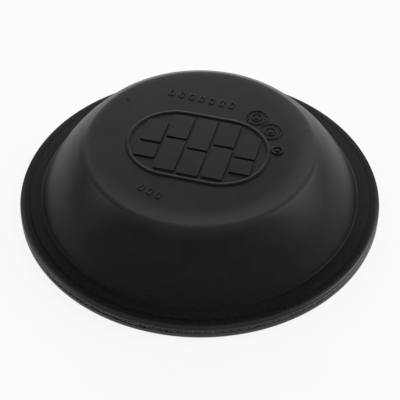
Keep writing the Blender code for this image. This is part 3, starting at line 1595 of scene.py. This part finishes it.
@dataclass
class MouldNibs(Moulding):
    """Small beads that the mould's vents leave, and finer ones scattered on the flange."""

    section: MouldedSection
    flatness: float = 0.55
    nib_rounds: int = 3
    nibs: tuple[Nib, ...] = (
        Nib(74.2 * MM, radians(-89.0), 0.34 * MM),
        Nib(78.4 * MM, radians(-70.0), 0.34 * MM),
        Nib(78.4 * MM, radians(-101.0), 0.42 * MM),
        Nib(67.3 * MM, radians(-67.0), 0.26 * MM),
        Nib(77.0 * MM, radians(-168.0), 0.30 * MM),
        Nib(46.2 * MM, radians(137.5), 0.62 * MM),
    )
    scatter_density: float = 9000.0
    scatter_radius: float = 0.11 * MM
    seed: int = 3

    def build(self, cup: bpy.types.Object, finish: bpy.types.Material) -> None:
        """Make the single beads and the scattered ones.

        Args:
            cup: The piece that the fine beads are seated on.
            finish: Their material.
        """
        shape = bmesh.new()
        for nib in self.nibs:
            height, tilt = self.section.height_at(nib.reach)
            place = (
                Matrix.Rotation(nib.azimuth, 4, "Z")
                @ Matrix.Translation((nib.reach, 0.0, height))
                @ Matrix.Rotation(tilt, 4, "Y")
                @ Matrix.Diagonal((1.0, 1.0, self.flatness, 1.0))
            )
            bmesh.ops.create_icosphere(shape, subdivisions=self.nib_rounds, radius=nib.radius, matrix=place)
        self.place("mould_nibs", kept("mould_nibs", shape), finish)
        fine = ScatterTree().grow(
            cup.data.copy(),
            finish,
            density=self.scatter_density,
            bead_radius=self.scatter_radius,
            low_radius=self.section.foot[0],
            high_radius=self.section.rim_radius - self.section.lip_top_round,
            seed=self.seed,
        )
        self.place("flange_beads", fine, finish)


def section_mesh(name: str, points: Sequence[Point]) -> bpy.types.Mesh:
    """Put a section's points in a mesh, in order, at +X.

    Args:
        name: The mesh's name.
        points: Distance from the axis and height of each point.

    Returns:
        A mesh of points alone.
    """
    mesh = bpy.data.meshes.new(name)
    mesh.from_pydata([(reach, 0.0, height) for reach, height in points], [], [])
    return mesh


@dataclass(frozen=True)
class SoftPanel:
    """A soft patch of light far out in the room: where it stands, its half width and its level."""

    azimuth: float
    elevation: float
    spread: float
    level: float

    @property
    def direction(self) -> Vector:
        """The way from the part to the middle of the panel."""
        flat = cos(self.elevation)
        return Vector((flat * cos(self.azimuth), flat * sin(self.azimuth), sin(self.elevation)))


@dataclass
class Studio:
    """Pale floor, a room with soft panels behind and beside the part, and the camera."""

    image_side: int = 400
    focal_pixels: float = 1268.0
    sensor_width: float = 36.0
    distance: float = 0.600
    elevation: float = radians(44.70)
    pitch_offset: float = radians(-0.03)
    yaw: float = radians(0.015)
    roll: float = radians(0.41)
    clip_near: float = 0.02
    clip_far: float = 20.0
    floor_side: float = 6.0
    floor_drop: float = 0.05 * MM
    floor_white: float = 0.90
    glow_share: float = 0.88
    mirrored_glow_share: float = 0.65
    room_level: float = 0.34
    panels: tuple[SoftPanel, ...] = (
        SoftPanel(radians(90.0), radians(0.0), radians(45.0), 4.90),
        SoftPanel(radians(12.0), radians(33.0), radians(31.0), 3.10),
        SoftPanel(radians(172.0), radians(32.0), radians(22.0), 1.70),
    )

    def build(self) -> None:
        """Make the floor, the world and the camera."""
        self._floor()
        self._world()
        self._camera()
        bpy.context.scene.view_settings.view_transform = "Standard"
        LOG.info("studio: %d soft panels", len(self.panels))

    @staticmethod
    def _rays(board: NodeBoard) -> tuple[Signal, Signal]:
        """Tell which rays the camera sees along, and which ones come off a glossy surface."""
        path = board.node("ShaderNodeLightPath").outputs
        seen = Signal(board, path["Is Camera Ray"]).maths("MAXIMUM", path["Is Transmission Ray"])
        return seen, Signal(board, path["Is Glossy Ray"])

    def _floor(self) -> None:
        """Make the pale floor, partly bright by itself, so that it keeps only a faint shadow."""
        half = self.floor_side / 2
        mesh = bpy.data.meshes.new("floor")
        corners = [(-half, -half), (half, -half), (half, half), (-half, half)]
        mesh.from_pydata([(x, y, -self.floor_drop) for x, y in corners], [], [(0, 1, 2, 3)])
        finish = bpy.data.materials.new("pale_floor")
        board = NodeBoard(cleared_tree(finish))
        white = (self.floor_white, self.floor_white, self.floor_white, 1.0)
        matt = board.out("ShaderNodeBsdfDiffuse", inputs={"Color": white})
        glow = board.out("ShaderNodeEmission", inputs={"Color": WHITE, "Strength": 1.0})
        seen, mirrored = self._rays(board)
        share = (seen * self.glow_share).maths("MAXIMUM", mirrored * self.mirrored_glow_share)
        mixed = board.out("ShaderNodeMixShader", inputs={0: share, 1: matt, 2: glow})
        board.node("ShaderNodeOutputMaterial", inputs={0: mixed})
        mesh.materials.append(finish)
        floor = added("floor", mesh)

    def _world(self) -> None:
        """Make the room's light: an even dim room with the bright panels in it."""
        world = bpy.data.worlds.new("studio")
        board = NodeBoard(cleared_tree(world))
        direction = board.node("ShaderNodeTexCoord").outputs["Generated"]
        seen, _ = self._rays(board)
        room: Any = self.room_level
        for panel in self.panels:
            ends = {0: direction, 1: panel.direction}
            facing = board.node("ShaderNodeVectorMath", {"operation": "DOT_PRODUCT"}, ends)
            patch = Signal(board, facing.outputs["Value"]).ramp(cos(panel.spread), 1.0)
            room = patch * panel.level + room
        light = {"Color": WHITE, "Strength": seen + (1.0 - seen) * room}
        board.node("ShaderNodeOutputWorld", inputs={0: board.out("ShaderNodeBackground", inputs=light)})
        bpy.context.scene.world = world

    def _camera(self) -> None:
        """Place the camera at the photograph's angle, in front of the part and above it."""
        place = Vector((0.0, -self.distance * cos(self.elevation), self.distance * sin(self.elevation)))
        pitch = self.elevation + self.pitch_offset
        forward = Vector((sin(self.yaw) * cos(pitch), cos(self.yaw) * cos(pitch), -sin(pitch)))
        right = forward.cross(Vector((0.0, 0.0, 1.0))).normalized()
        up = right.cross(forward)
        leaning_right = right * cos(self.roll) + up * sin(self.roll)
        leaning_up = up * cos(self.roll) - right * sin(self.roll)
        data = bpy.data.cameras.new("camera")
        data.sensor_width = self.sensor_width
        data.lens = self.focal_pixels * self.sensor_width / self.image_side
        data.clip_start, data.clip_end = self.clip_near, self.clip_far
        camera = added("camera", data)
        axes = Matrix((leaning_right, leaning_up, -forward)).transposed()
        camera.matrix_world = Matrix.Translation(place) @ axes.to_4x4()
        bpy.context.scene.camera = camera


def main() -> None:
    """Build the part's pieces in order, then the studio round them."""
    logging.basicConfig(level=logging.INFO, format="%(name)s: %(message)s")
    section = MouldedSection.from_frame()
    moulded = RubberFinish().material()
    relief = RubberFinish(Skin.RELIEF, grain=MouldGrain(peel_depth=0.0), roughness=0.44).material()
    pale_dust = FlangeDust(deep_colour=(0.012, 0.012, 0.012), dust_colour=(0.240, 0.240, 0.242))
    trimmed = RubberFinish(Skin.TRIMMED, dust=pale_dust, roughness=0.55).material()
    cup = RubberCup(section).build(moulded)
    PartingFlash(section).build(trimmed)
    PlateMarks(section.overall_height).build(relief)
    MouldNibs(section).build(cup, relief)
    Studio().build()


if __name__ == "__main__":
    main()
